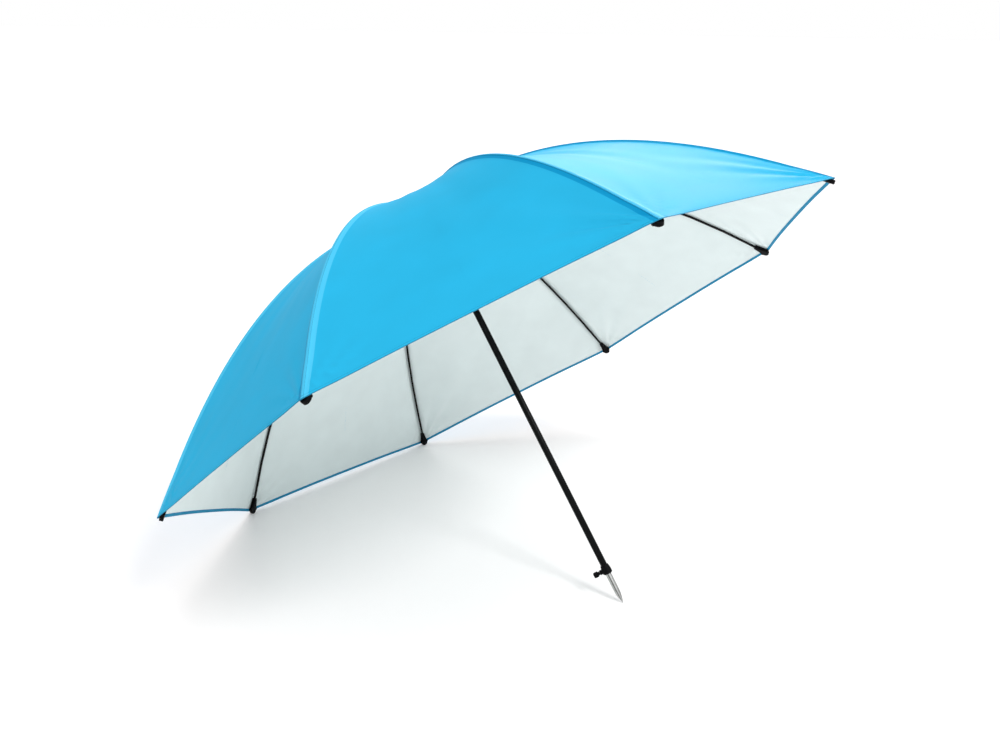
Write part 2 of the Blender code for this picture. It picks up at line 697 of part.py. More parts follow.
def runner(parent):
    """The slider: a notched hub on a sleeve, with a window that the catch button shows in."""
    top = HUB_DEPTH
    bottom = -HUB_DEPTH
    foot = bottom - RUNNER_SLEEVE_LENGTH
    grip = foot + RUNNER_GRIP_LENGTH
    chamfer = HUB_WALL / 4
    outline = [(SLEEVE_BORE, top), (HUB_RADIUS - chamfer, top), (HUB_RADIUS, top - chamfer)]
    outline += groove(0)
    outline += [(HUB_RADIUS, bottom + chamfer), (HUB_RADIUS - chamfer, bottom),
                (SLEEVE_RADIUS + HUB_WALL, bottom), (SLEEVE_RADIUS, bottom - HUB_WALL),
                (SLEEVE_RADIUS, grip), (RUNNER_GRIP_RADIUS, grip - chamfer * 2),
                (RUNNER_GRIP_RADIUS, foot + chamfer), (RUNNER_GRIP_RADIUS - chamfer, foot),
                (SLEEVE_BORE, foot)]
    made = turned("runner", outline, BLACK_PLASTIC, parent, 24, closed=True)
    inner = HINGE_RADIUS - EYE_RADIUS - CLEARANCE
    slots = slots_mesh(0, inner, -HUB_DEPTH - OVERRUN, HUB_DEPTH + OVERRUN)
    boolean(made, guide("runner_slots", slots, parent))
    depth = RUNNER_GRIP_RADIUS + OVERRUN
    height = RUNNER_SLEEVE_LENGTH + OVERRUN
    size = (depth, BUTTON_WIDTH + 2 * WINDOW_CLEARANCE, height)
    window = block(size, (depth / 2, 0, bottom - height / 2))
    boolean(made, guide("runner_window", window, parent))
    return made


def catch_button_mesh():
    """A button along X with a ramp under its nose and a wider foot inside the tube."""
    half = BUTTON_HEIGHT / 2
    foot_half = half + BUTTON_SHOULDER
    nose = TUBE_RADIUS + BUTTON_STAND_OUT
    inside = math.sqrt((TUBE_BORE - CLEARANCE) ** 2 - (BUTTON_WIDTH / 2) ** 2)
    back = inside - BUTTON_FOOT
    ramp = half - BUTTON_STAND_OUT
    outline = [(back, -foot_half), (inside, -foot_half), (inside, -half), (TUBE_RADIUS, -half),
               (nose, -ramp), (nose, half), (inside, half), (inside, foot_half), (back, foot_half)]
    return plate([outline], BUTTON_WIDTH, STANDING)


def catch_spring(parent):
    """A leaf bent to a U: one leg bears on the button, the other on the tube's far side."""
    half = SPRING_THICKNESS / 2
    inside = math.sqrt((TUBE_BORE - CLEARANCE) ** 2 - (SPRING_WIDTH / 2) ** 2)
    button_inside = math.sqrt((TUBE_BORE - CLEARANCE) ** 2 - (BUTTON_WIDTH / 2) ** 2)
    near = button_inside - BUTTON_FOOT - CLEARANCE - half
    far = -(inside - half)
    bend = (near - far) / 2
    middle = (near + far) / 2
    height = button_height()
    low = height - SPRING_LENGTH + bend
    top = height + BUTTON_HEIGHT / 2
    path = [(near, top)]
    path += [(x, z) for x, z in arc((middle, low), bend, 0, -180, 9)]
    path += [(far, top)]
    bm = bmesh.new()
    rows = []
    for x, z in path:
        rows.append([bm.verts.new((x, side * SPRING_WIDTH / 2, z)) for side in (-1, 1)])
    for (a, b), (c, d) in zip(rows, rows[1:]):
        bm.faces.new((a, b, d, c))
    made = place("catch_spring", mesh_from(bm, "catch_spring"), STEEL_WIRE, parent)
    solid = made.modifiers.new("leaf", "SOLIDIFY")
    solid.thickness = SPRING_THICKNESS
    solid.offset = 0
    solid.use_even_offset = True
    return made


def cloth_point(turn, share, azimuth):
    """A point on the cloth's under side.

    turn runs from -1 on one rib to 1 on the next, share from 0 at the apex to 1 at the hem.
    """
    across = 1 - turn * turn
    hem = RIM_RADIUS - HEM_SETBACK * math.cos(rib_fall(RIM_RADIUS))
    hem -= HEM_SCALLOP * across * math.cos(rib_fall(RIM_RADIUS))
    r = APEX_HOLE_RADIUS + (hem - APEX_HOLE_RADIUS) * share
    if r < HUB_RADIUS:
        return Matrix.Rotation(azimuth, 4, "Z") @ Vector((r, 0, HINGE_HEIGHT + CLOTH_OFFSET))
    fall = rib_fall(r)
    offset = CLOTH_OFFSET + CUP_LIFT * max(0, share * CLOTH_ROWS - (CLOTH_ROWS - 1))
    ridge = r + offset * math.sin(fall)
    height = rib_height(r) + offset * math.cos(fall)
    half = RIB_SPACING / 2
    straight = math.cos(half) / math.cos(turn * half)
    grown = min((r - HUB_RADIUS) / (CREST_RADIUS - HUB_RADIUS), 1)
    grown = grown * grown * (3 - 2 * grown)
    chord = 1 - (1 - straight) * grown
    draw = PANEL_DRAW * across * math.sin(math.pi * share) * grown
    out = ridge * chord - draw * math.sin(fall)
    return Matrix.Rotation(azimuth, 4, "Z") @ Vector((out, 0, height - draw * math.cos(fall)))


def row_shares():
    """Shares of the way from the apex to the hem, closer together at the crown."""
    near = [0, (HUB_RADIUS - APEX_HOLE_RADIUS) / (RIM_RADIUS - APEX_HOLE_RADIUS) * 0.99]
    return near + [0.07 + 0.93 * i / CLOTH_ROWS for i in range(CLOTH_ROWS + 1)]


def canopy(parent):
    """The sewn cloth as one shell: straight or drawn in between ribs, with a scalloped hem."""
    bm = bmesh.new()
    columns = RIB_COUNT * PANEL_COLUMNS
    shares = row_shares()
    rows = []
    for share in shares:
        row = []
        for column in range(columns):
            azimuth = FIRST_RIB_AZIMUTH + RIB_SPACING * column / PANEL_COLUMNS
            turn = 2 * (column % PANEL_COLUMNS) / PANEL_COLUMNS - 1
            row.append(bm.verts.new(cloth_point(turn, share, azimuth)))
        rows.append(row)
    for inner, outer in zip(rows, rows[1:]):
        for column in range(columns):
            after = (column + 1) % columns
            bm.faces.new((inner[column], outer[column], outer[after], inner[after]))
    mesh = mesh_from(bm, "canopy")
    if sum((face.normal.z for face in mesh.polygons)) < 0:
        mesh.flip_normals()
    made = place("canopy", mesh, BLUE_CLOTH, parent)
    smooth(mesh)
    solid = made.modifiers.new("cloth", "SOLIDIFY")
    solid.thickness = CLOTH_THICKNESS
    solid.offset = 1
    solid.use_even_offset = True
    return made


def build_ribs(parent):
    """Eight ribs with their tips, brackets, rivets and stretchers, each on its own hinge."""
    rib, cup, bracket = rib_mesh(), cup_mesh(), bracket_mesh()
    rivet, stretcher = rivet_mesh(), stretcher_mesh()
    fall = rib_fall(BRACKET_RADIUS)
    at_rivet = Matrix.Translation(LINKAGE.rivet)
    lean = Matrix.Rotation(math.radians(90) + LINKAGE.lean, 4, "Y") @ Matrix.Rotation(math.pi, 4, "X")
    for index in range(RIB_COUNT):
        number = index + 1
        azimuth = FIRST_RIB_AZIMUTH - index * RIB_SPACING
        turn = Matrix.Rotation(azimuth, 4, "Z")
        hinge = turn @ Matrix.Translation((HINGE_RADIUS, 0, HINGE_HEIGHT))
        root = empty(f"rib_{number}_hinge", parent, hinge)
        place(f"rib_{number}", rib, BLACK_GLASS_FIBRE, root)
        place(f"rib_tip_{number}", cup, BLACK_PLASTIC, root, tip_matrix())
        place(f"rib_bracket_{number}", bracket, BLACK_PLASTIC, root,
              at_rivet @ Matrix.Rotation(fall, 4, "Y"))
        place(f"stretcher_rivet_{number}", rivet, STEEL_WIRE, root, at_rivet)
        pivot = empty(f"stretcher_{number}_hinge", root, at_rivet)
        place(f"stretcher_{number}", stretcher, BLACK_GLASS_FIBRE, pivot, lean)


def ground_tilt():
    """The pole's lean from upright at which the spike and two rib tips touch the ground."""
    fall = rib_fall(RIM_RADIUS)
    back = math.cos(RIB_SPACING / 2)

    def height(tilt, radius, level):
        return level * math.cos(tilt) - radius * back * math.sin(tilt)

    def tip_height(tilt):
        centre = height(tilt, RIM_RADIUS - CUP_END_RADIUS * math.cos(fall),
                        RIM_HEIGHT + CUP_END_RADIUS * math.sin(fall))
        normal = math.cos(fall) * math.cos(tilt) - math.sin(fall) * back * math.sin(tilt)
        reach = CUP_END_RADIUS * math.sqrt(1 - normal * normal)
        return centre - reach - CUP_HALF_THICKNESS * abs(normal)

    low, high = 0.0, math.pi / 2
    for _ in range(60):
        tilt = (low + high) / 2
        if tip_height(tilt) > -SPIKE_POINT_RADIUS * math.sin(tilt):
            low = tilt
        else:
            high = tilt
    return tilt


def world_corners():
    """The lowest and highest corners of every piece together, as they lie."""
    bpy.context.view_layer.update()
    graph = bpy.context.evaluated_depsgraph_get()
    low, high = Vector((math.inf,) * 3), Vector((-math.inf,) * 3)
    for obj in PARTS.objects:
        if obj.type != "MESH":
            continue
        mesh = obj.evaluated_get(graph).to_mesh()
        for vertex in mesh.vertices:
            point = obj.matrix_world @ vertex.co
            low = Vector(map(min, low, point))
            high = Vector(map(max, high, point))
    return low, high


def lay_down(root):
    """Lays the umbrella on the ground, with the middle of its box over the origin."""
    root.matrix_local = Matrix.Rotation(-ground_tilt(), 4, "Y")
    low, high = world_corners()
    middle = (low + high) / 2
    root.matrix_local = Matrix.Translation((-middle.x, 0, -low.z)) @ root.matrix_local


def build():
    root = empty("umbrella_axis")
    ring = ring_mesh()
    upper_tube(root)
    crown(root)
    place("crown_ring", ring, STEEL_WIRE, root, Matrix.Translation((0, 0, HINGE_HEIGHT)))
    crown_cap(root)
    canopy(root)
    collar(root)
    place("thumb_screw", thumb_screw_mesh(), BLACK_PLASTIC, empty("thumb_screw_axis", root, screw_frame()))
    lower = empty("lower_pole_slide", root)
    lower_tube(lower)
    spike(lower)
    slide = empty("runner_slide", root, Matrix.Translation((0, 0, RUNNER_HEIGHT)))
    runner(slide)
    place("runner_ring", ring, STEEL_WIRE, slide)
    catch = empty("catch_axis", root, Matrix.Translation((0, 0, button_height())))
    place("catch_button", catch_button_mesh(), BLACK_PLASTIC, catch)
    catch_spring(root)
    build_ribs(root)
    lay_down(root)
    bpy.context.view_layer.update()
    return root


build()
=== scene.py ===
"""Looks of a fishing umbrella: sewn cloth, finishes of the pole and fittings, and the stage."""
import json
import math

import bpy
import numpy as np
from bpy.props import FloatProperty, FloatVectorProperty, IntProperty, PointerProperty
from mathutils import Euler, Matrix, Vector


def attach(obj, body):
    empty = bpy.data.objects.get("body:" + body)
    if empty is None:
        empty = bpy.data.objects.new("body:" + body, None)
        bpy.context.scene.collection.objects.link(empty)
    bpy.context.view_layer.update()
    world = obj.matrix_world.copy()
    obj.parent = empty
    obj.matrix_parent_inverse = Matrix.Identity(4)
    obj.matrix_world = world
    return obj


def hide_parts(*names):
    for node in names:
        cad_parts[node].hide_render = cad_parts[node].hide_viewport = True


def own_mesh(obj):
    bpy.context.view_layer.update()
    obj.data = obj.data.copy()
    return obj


bl_info = {
    "name": "Fishing umbrella looks",
    "version": (1, 0, 0),
    "blender": (4, 5, 0),
    "location": "View3D > Sidebar > Umbrella",
    "description": "Dresses the packed umbrella with sewn cloth, finishes and a stage",
    "category": "Object",
}

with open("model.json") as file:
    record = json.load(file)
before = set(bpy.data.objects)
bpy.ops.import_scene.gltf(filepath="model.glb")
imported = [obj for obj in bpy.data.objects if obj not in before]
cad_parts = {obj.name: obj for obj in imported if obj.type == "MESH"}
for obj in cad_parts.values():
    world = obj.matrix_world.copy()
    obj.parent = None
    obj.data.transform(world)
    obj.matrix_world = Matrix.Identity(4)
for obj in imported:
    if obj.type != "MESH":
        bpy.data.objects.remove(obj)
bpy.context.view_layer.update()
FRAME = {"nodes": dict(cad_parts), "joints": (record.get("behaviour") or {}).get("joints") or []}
JOINTS = {joint["name"]: joint for joint in FRAME["joints"]}
RIBS = tuple(range(1, 9))
HALF_PANEL = math.pi / len(RIBS)    # half the angle between two ribs
MILLIMETRE = 0.001

# The crown's centre, on the pole's axis and level with the ribs' hinges
HINGES = [Vector(JOINTS[f"rib_{number}_hinge"]["pos_m"]) for number in RIBS]
CROWN = sum(HINGES, Vector()) / len(HINGES)
POLE_UP = -Vector(JOINTS["runner_slide"]["axis"])
HINGE_RADIUS = (HINGES[0] - CROWN).length

# The ribs' curve, a parabola from its highest point out to the rim
RIM_RADIUS = 1060 * MILLIMETRE
CREST_RADIUS = 130 * MILLIMETRE
CREST_RISE = 552 * MILLIMETRE

# The crown's cap, and the flutes round the spike's point
CAP_RADIUS = 28 * MILLIMETRE
FLUTES = 6

# Where the cloth's grid is cut into lengths, from crown to hem
CUT_SHARES = (0, 0.32, 0.56, 1)

# How strongly each corner of the cloth puckers, from rib 1 to rib 8
PUCKER_SHARES = (0.6, 0.5, 0.8, 0.5, 0.6, 0.7, 1.0, 0.6)

# The two sets of soft folds in a panel: their height, folds across, folds outwards and phase
FOLD_SHARES = ((1.0, 2.6, 0.35, 1.0), (0.6, 4.7, -0.5, 1.7))

# Small sizes of the cloth's form
CLOTH_GAP = 1 * MILLIMETRE          # of the strips' inner edges outside the hinges
SEAM_EDGE = 1 * MILLIMETRE          # over which the seam's thickness ends
CORNER_GAP = 1 * MILLIMETRE         # that keeps the creases' angle defined at a corner
HELD_REACH = 45 * MILLIMETRE        # of a cup's hold on the cloth, where no crease forms
LIFTED_WIDTH = 60 * MILLIMETRE      # of the cloth that a cup lifts, to each side
LIFTED_SHARE = 1 / 13               # of the cloth's length that a cup lifts

# Threads of the cloth, drawn further apart than the real 0.15 mm so that they show
THREAD_SPACING = 1.6 * MILLIMETRE

# Angles between facets above which an edge is a real one
TURNED_EDGE = math.radians(28)
MOULDED_EDGE = math.radians(38)
ROUND_EDGE = math.radians(50)
WIRE_EDGE = math.radians(65)

# Way to each lamp and its spread in degrees, and the side that the soft light favours
LAMPS = {"overhead": ((0.12, -0.3, 1.0), 50),
         "key": ((0.9, 0.0, 1.0), 16),
         "behind": ((-0.5, 0.82, 0.3), 20)}
LIGHTER_SIDE = (0.75, 0.66, 0)


def linear(colour):
    """An sRGB hex colour as linear red, green and blue."""
    channels = [int(colour[i:i + 2], 16) / 255 for i in (1, 3, 5)]
    return tuple(c / 12.92 if c <= 0.04045 else ((c + 0.055) / 1.055) ** 2.4 for c in channels)


def rib_frame(number):
    """From a rib's own axes, out from the pole, across and up, to the part's."""
    across = Vector(JOINTS[f"rib_{number}_hinge"]["axis"])
    out = across.cross(POLE_UP)
    frame = Matrix((out, across, POLE_UP)).transposed().to_4x4()
    frame.translation = CROWN
    return frame


class CanopySettings(bpy.types.PropertyGroup):
    """Sizes and colours of the cloth."""
    outside: FloatVectorProperty(name="Outside", description="Coated cloth's colour outside",
                                 default=linear("#2CB8E7"), subtype="COLOR", size=3, min=0, max=1)
    inside: FloatVectorProperty(name="Inside", description="Colour of the coating inside",
                                default=linear("#EEFAFA"), subtype="COLOR", size=3, min=0, max=1)
    # Painted highlight: a paler colour along each ridge, standing in for the sheen where the cloth is
    # drawn over the rib.
    painted_ridge_highlight: FloatVectorProperty(name="Doubled", description="Outside colour where the cloth lies double",
                                 default=linear("#4FC7F1"), subtype="COLOR", size=3, min=0, max=1)
    # Painted shade: a darker colour over the seam's allowance, on the ridge's other side.
    painted_allowance_shade: FloatVectorProperty(name="Deep", description="Outside colour over the seam's allowance",
                              default=linear("#129CD2"), subtype="COLOR", size=3, min=0, max=1)
    # Painted shade: the hem's colour is the cloth's own blue, darkened for the shade inside the canopy.
    binding_painted_shade: FloatVectorProperty(name="Binding", description="Colour of the tape that binds the edge",
                                 default=linear("#2C8CB4"), subtype="COLOR", size=3, min=0, max=1)
    # Also the colour of the painted shadow line along each seam's step.
    thread: FloatVectorProperty(name="Thread", description="Colour of the sewing thread",
                                default=linear("#0A7FB0"), subtype="COLOR", size=3, min=0, max=1)
    thickness: FloatProperty(name="Thickness", description="Thickness of the coated cloth",
                             default=0.8 * MILLIMETRE, min=0, unit="LENGTH")
    offset: FloatProperty(name="Offset", description="Cloth's inside above the ribs' centre lines",
                          default=7.3 * MILLIMETRE, min=0, unit="LENGTH")
    corner_lift: FloatProperty(name="Corner lift", description="Extra lift over the rib tips' cups",
                               default=3.4 * MILLIMETRE, min=0, unit="LENGTH")
    setback: FloatProperty(name="Setback", description="From the rib tips to the cloth's corners",
                           default=5 * MILLIMETRE, min=0, unit="LENGTH")
    scallop: FloatProperty(name="Scallop", description="Hem's hollow between two corners",
                           default=8 * MILLIMETRE, min=0, unit="LENGTH")
    draw: FloatProperty(name="Draw", description="Panel's hollow under the line between two ribs",
                        default=14 * MILLIMETRE, min=0, unit="LENGTH")
    ridge: FloatProperty(name="Ridge", description="Half width of the rounded ridge over a rib",
                         default=6 * MILLIMETRE, min=0, unit="LENGTH")
    stand: FloatProperty(name="Stand", description="How far the ridge stands above its two flanks",
                         default=5 * MILLIMETRE, min=0, unit="LENGTH")
    flank: FloatProperty(name="Flank", description="Width of the ridge's flank on each side",
                         default=10 * MILLIMETRE, min=0, unit="LENGTH")
    seam: FloatProperty(name="Seam", description="Width of the felled seam along each rib",
                        default=11 * MILLIMETRE, min=0, unit="LENGTH")
    allowance: FloatProperty(name="Allowance", description="Cloth that lies double beside a seam",
                             default=9 * MILLIMETRE, min=0, unit="LENGTH")
    seam_rise: FloatProperty(name="Seam rise", description="Thickness that the seam's folds add",
                             default=0.7 * MILLIMETRE, min=0, unit="LENGTH")
    pucker: FloatProperty(name="Pucker", description="Depth of the creases that fan from a corner",
                          default=4.6 * MILLIMETRE, min=0, unit="LENGTH")
    pucker_reach: FloatProperty(name="Pucker reach", description="Distance over which they fade",
                                default=190 * MILLIMETRE, min=0, unit="LENGTH")
    fold: FloatProperty(name="Fold", description="Height of the long soft folds in a panel",
                        default=1.3 * MILLIMETRE, min=0, unit="LENGTH")
    hem_width: FloatProperty(name="Hem width", description="Cloth turned in under the edge",
                             default=9 * MILLIMETRE, min=0, unit="LENGTH")
    columns: IntProperty(name="Columns", description="Cloth columns on each side of a rib",
                         default=24, min=8)
    rows: IntProperty(name="Rows", description="Cloth rows from crown to hem", default=84, min=20)
    gathered: FloatVectorProperty(name="Gathered", description="Share of its width that folded cloth "
                                  "keeps at the crown, in the middle and at the hem",
                                  default=(0.6, 0.42, 0.3), size=3, min=0.02, max=1)


class FinishSettings(bpy.types.PropertyGroup):
    """Colours of the pole, the fittings and the frame."""
    tube: FloatVectorProperty(name="Upper tube", description="Dyed anodising on the upper tube",
                              default=linear("#060607"), subtype="COLOR", size=3, min=0, max=1)
    bare: FloatVectorProperty(name="Spike and lower tube", description="Bare aluminium",
                              default=linear("#BABBBA"), subtype="COLOR", size=3, min=0, max=1)
    nylon: FloatVectorProperty(name="Fittings", description="Moulded black nylon",
                               default=linear("#08080A"), subtype="COLOR", size=3, min=0, max=1)
    fibre: FloatVectorProperty(name="Ribs", description="Pultruded glass fibre",
                               default=linear("#090A0B"), subtype="COLOR", size=3, min=0, max=1)
    wire: FloatVectorProperty(name="Wire", description="Zinc-plated steel wire and rivets",
                              default=linear("#BFC1C2"), subtype="COLOR", size=3, min=0, max=1)


class StageSettings(bpy.types.PropertyGroup):
    """Camera, floor and lamps."""
    camera_at: FloatVectorProperty(name="Camera", description="Camera's place",
                                   default=(1.8913, -2.1528, 1.5971), size=3, unit="LENGTH")
    heading: FloatProperty(name="Heading", description="Way the camera looks, from +X",
                           default=math.radians(131.55), unit="ROTATION")
    tilt: FloatProperty(name="Tilt", description="Camera's tilt below level",
                        default=math.radians(19.47), unit="ROTATION")
    roll: FloatProperty(name="Roll", description="Camera's roll", default=math.radians(0.89),
                        unit="ROTATION")
    lens: FloatProperty(name="Lens", description="Focal length in millimetres", default=36.44, min=1)
    floor: FloatVectorProperty(name="Floor", description="Floor's colour",
                               default=linear("#FAF7F7"), subtype="COLOR", size=3, min=0, max=1)
    floor_glow: FloatProperty(name="Floor glow", description="What the camera sees the floor add",
                              default=0.08, min=0)
    sky_left: FloatProperty(name="Sky, left", description="Strength of the soft light from the left",
                            default=0.34, min=0)
    sky_right: FloatProperty(name="Sky, right", description="Strength of the soft light from the right",
                             default=0.66, min=0)
    overhead: FloatProperty(name="Overhead", description="Strength of the wide lamp overhead",
                            default=1.0, min=0)
    key: FloatProperty(name="Key", description="Strength of the narrow lamp on the right",
                       default=1.15, min=0)
    behind: FloatProperty(name="Behind", description="Strength of the lamp behind on the right",
                          default=1.45, min=0)


# Nodes and materials

def add(tree, kind, links=None, **settings):
    """Adds a node with its settings, and values or links for its inputs."""
    made = tree.nodes.new(kind)
    for name, value in settings.items():
        setattr(made, name, value)
    for name, value in (links or {}).items():
        if isinstance(value, bpy.types.NodeSocket):
            tree.links.new(value, made.inputs[name])
        else:
            made.inputs[name].default_value = value
    return made


def new_material(name, colour, roughness, **sockets):
    """A Principled material with its plain values, and its tree and shader."""
    made = bpy.data.materials.new(name)
    made.use_nodes = True
    shader = made.node_tree.nodes["Principled BSDF"]
    shader.inputs["Base Color"].default_value = (*colour, 1)
    shader.inputs["Roughness"].default_value = roughness
    for socket, value in sockets.items():
        shader.inputs[socket.replace("_", " ")].default_value = value
    made.diffuse_color = (*colour, 1)
    return made, made.node_tree, shader


def bands(period):
    """Scale of a Wave texture whose bands repeat at a real distance."""
    radians_per_unit = 20
    return 2 * math.pi / radians_per_unit / period


def tinted(tree, colour, noise, low, high):
    """A colour that a noise, which mostly lies between 0.3 and 0.7, darkens and lightens."""
    ramp = add(tree, "ShaderNodeMapRange", {"Value": noise.outputs["Fac"], "From Min": 0.3,
                                            "From Max": 0.7, "To Min": low, "To Max": high})
    return add(tree, "ShaderNodeVectorMath", {0: (*colour,), "Scale": ramp.outputs["Result"]},
               operation="SCALE").outputs["Vector"]


def line_at(tree, distance, place, width):
    """1 on a line at a distance, and 0 elsewhere."""
    off = add(tree, "ShaderNodeMath", {0: distance, 1: place}, operation="SUBTRACT").outputs[0]
    near = add(tree, "ShaderNodeMath", {0: off}, operation="ABSOLUTE").outputs[0]
    return add(tree, "ShaderNodeMath", {0: near, 1: width / 2}, operation="LESS_THAN").outputs[0]


def stitches(tree, across, back, settings):
    """1 on the threads: two lines along the seam over a rib, and one along the hem."""
    thread = 0.8 * MILLIMETRE
    pitch = 3.2 * MILLIMETRE
    inset = 1.4 * MILLIMETRE
    sewn_share = 0.75
    side = add(tree, "ShaderNodeMath", {0: across}, operation="ABSOLUTE").outputs[0]
    lines = []
    for distance, place, run in ((side, settings.seam / 2 - inset, back),
                                 (back, settings.hem_width - inset, across)):
        line = line_at(tree, distance, place, thread)
        step = add(tree, "ShaderNodeMath", {0: run, 1: pitch}, operation="FLOORED_MODULO").outputs[0]
        sewn = add(tree, "ShaderNodeMath", {0: step, 1: pitch * sewn_share},
                   operation="LESS_THAN").outputs[0]
        lines.append(add(tree, "ShaderNodeMath", {0: line, 1: sewn}, operation="MULTIPLY").outputs[0])
    return add(tree, "ShaderNodeMath", {0: lines[0], 1: lines[1]}, operation="MAXIMUM").outputs[0]


def weave_height(tree, coordinates):
    """A plain weave's height from two crossing sets of threads, from 0 to 1."""
    scale = bands(THREAD_SPACING)
    heights = []
    for direction in ("X", "Y"):
        wave = add(tree, "ShaderNodeTexWave", {"Vector": coordinates, "Scale": scale},
                   wave_type="BANDS", bands_direction=direction)
        heights.append(wave.outputs["Fac"])
    return add(tree, "ShaderNodeMath", {0: heights[0], 1: heights[1]}, operation="MULTIPLY").outputs[0]


def coated_polyester(settings):
    """Tightly woven polyester with a coating: smooth, with a soft sheen and faint threads.

    The cloth lies double along each seam; the pale band over each ridge is a painted highlight, and the
    darker band over the allowance beside it is painted shade.
    """
    cloud_size = 160 * MILLIMETRE
    seam_shadow_width = 1.6 * MILLIMETRE
    thread_height = 0.06 * MILLIMETRE
    stitch_depth = 0.3 * MILLIMETRE
    made, tree, shader = new_material("coated_polyester_cloth", settings.outside, 0.55, IOR=1.5,
                                      Specular_IOR_Level=0.02)
    uv = add(tree, "ShaderNodeUVMap", uv_map="cloth").outputs["UV"]
    place = add(tree, "ShaderNodeTexCoord").outputs["Object"]
    split = add(tree, "ShaderNodeSeparateXYZ", {"Vector": uv})
    across = split.outputs["X"]
    weave = weave_height(tree, uv)
    stitch = stitches(tree, across, split.outputs["Y"], settings)
    noise = add(tree, "ShaderNodeTexNoise", {"Vector": place, "Scale": 1 / cloud_size, "Detail": 3})
    # Painted highlight: a pale band over the ridge and its seam, running out to one side.
    painted_ridge_highlight = line_at(tree, across, settings.allowance / 2, settings.seam + settings.allowance)
    # Painted shade: a darker band over the allowance, beside the ridge on the side away from the painted
    # highlight.
    beside = -(settings.seam + settings.allowance) / 2
    allowance = line_at(tree, across, beside, settings.allowance)
    # Painted shadow: a thin dark line, in the thread's colour, along the seam's step.
    painted_seam_shadow = line_at(tree, across, -settings.seam / 2, seam_shadow_width)
    colour = tinted(tree, settings.outside, noise, 0.97, 1.03)
    # Over the cloth's own colour go the painted shade, the painted highlight, the painted shadow line and
    # the real stitches.
    for factor, over in ((allowance, settings.painted_allowance_shade), (painted_ridge_highlight, settings.painted_ridge_highlight),
                         (painted_seam_shadow, settings.thread), (stitch, settings.thread)):
        mix = add(tree, "ShaderNodeMix", {"Factor": factor, "A": colour, "B": (*over, 1)},
                  data_type="RGBA")
        colour = mix.outputs["Result"]
    tree.links.new(colour, shader.inputs["Base Color"])
    rough = add(tree, "ShaderNodeMapRange", {"Value": noise.outputs["Fac"], "To Min": 0.5, "To Max": 0.6})
    tree.links.new(rough.outputs["Result"], shader.inputs["Roughness"])
    fine = add(tree, "ShaderNodeBump", {"Height": weave, "Strength": 0.25, "Distance": thread_height})
    sewn = add(tree, "ShaderNodeBump", {"Height": stitch, "Strength": 0.7, "Distance": stitch_depth,
                                        "Normal": fine.outputs["Normal"]}, invert=True)
    tree.links.new(sewn.outputs["Normal"], shader.inputs["Normal"])
    return made


def binding_tape_in_painted_shade(settings):
    """Woven polyester tape, folded round the cloth's edge and sewn: ribbed across its run, its colour the
    cloth's own blue darkened as painted shade.
    """
    cloud_size = 30 * MILLIMETRE
    ridge_spacing = 1.4 * MILLIMETRE
    ridge_height = 0.15 * MILLIMETRE
    made, tree, shader = new_material("polyester_binding_tape", settings.binding_painted_shade, 0.7, IOR=1.5,
                                      Specular_IOR_Level=0.1)
    uv = add(tree, "ShaderNodeUVMap", uv_map="cloth").outputs["UV"]
    split = add(tree, "ShaderNodeSeparateXYZ", {"Vector": uv})
    stitch = stitches(tree, split.outputs["X"], split.outputs["Y"], settings)
    noise = add(tree, "ShaderNodeTexNoise", {"Vector": uv, "Scale": 1 / cloud_size, "Detail": 2})
    # Painted shade: the darker hem colour, with a random tone over it.
    painted_shade_tone = tinted(tree, settings.binding_painted_shade, noise, 0.94, 1.05)
    mix = add(tree, "ShaderNodeMix", {"Factor": stitch, "A": painted_shade_tone, "B": (*settings.thread, 1)},
              data_type="RGBA")
    tree.links.new(mix.outputs["Result"], shader.inputs["Base Color"])
    ridges = add(tree, "ShaderNodeTexWave", {"Vector": uv, "Scale": bands(ridge_spacing)},
                 wave_type="BANDS", bands_direction="X")
    bump = add(tree, "ShaderNodeBump", {"Height": ridges.outputs["Fac"], "Strength": 0.4,
                                        "Distance": ridge_height})
    tree.links.new(bump.outputs["Normal"], shader.inputs["Normal"])
    return made


def silver_coating(settings):
    """A thin pale silver coating on the cloth's inside: matt, a little uneven."""
    cloud_size = 90 * MILLIMETRE
    thread_height = 0.05 * MILLIMETRE
    made, tree, shader = new_material("silver_coated_lining", settings.inside, 0.6, IOR=1.45,
                                      Specular_IOR_Level=0.3)
    uv = add(tree, "ShaderNodeUVMap", uv_map="cloth").outputs["UV"]
    place = add(tree, "ShaderNodeTexCoord").outputs["Object"]
    weave = weave_height(tree, uv)
    noise = add(tree, "ShaderNodeTexNoise", {"Vector": place, "Scale": 1 / cloud_size, "Detail": 4})
    tree.links.new(tinted(tree, settings.inside, noise, 0.975, 1.02), shader.inputs["Base Color"])
    fine = add(tree, "ShaderNodeBump", {"Height": weave, "Strength": 0.2, "Distance": thread_height})
    tree.links.new(fine.outputs["Normal"], shader.inputs["Normal"])
    return made


def along_pole(tree, stretch):
    """Object coordinates with Z on the pole's axis, stretched along it."""
    turn = Euler((0, -math.atan2(POLE_UP.x, POLE_UP.z), 0))
    axis = turn.to_matrix() @ CROWN
    place = add(tree, "ShaderNodeTexCoord").outputs["Object"]
    turned = add(tree, "ShaderNodeMapping", {"Vector": place, "Rotation": turn[:],
                                             "Location": (-axis.x, -axis.y, 0)}).outputs["Vector"]
    return add(tree, "ShaderNodeMapping", {"Vector": turned, "Scale": (1, 1, 1 / stretch)})


